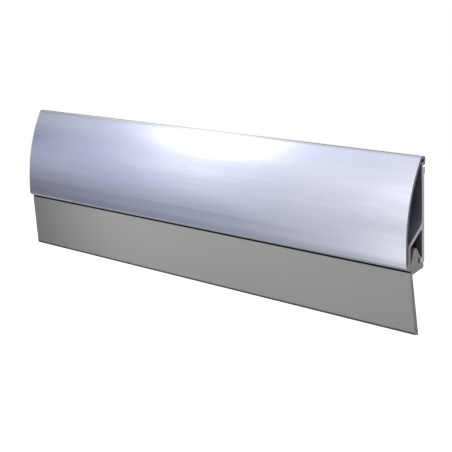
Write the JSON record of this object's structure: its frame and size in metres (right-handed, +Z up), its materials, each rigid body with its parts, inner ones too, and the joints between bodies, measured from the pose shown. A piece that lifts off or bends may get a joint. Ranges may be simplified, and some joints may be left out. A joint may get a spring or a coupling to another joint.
{
  "type": "lip door bottom seal",
  "caption": "Door bottom draught seal: a bowed cover clipped over a screw-on carrier, which holds a flexible grey lip seal hanging below the door's edge.",
  "frame": {"origin": "midway between the fixing holes, on the back face of the carrier's plate", "axes": "+X along the seal, +Y into the door, +Z up"},
  "size_m": [0.33, 0.0095, 0.0708],
  "materials": {
    "anodised_cover": "satin anodised",
    "extruded_carrier": "matt extruded, saw-cut ends",
    "grey_elastomer": "matt warm grey"
  },
  "bodies": {
    "root": {"cover": "anodised_cover", "carrier": "extruded_carrier", "lip_seal": "grey_elastomer"}
  },
  "joints": []
}
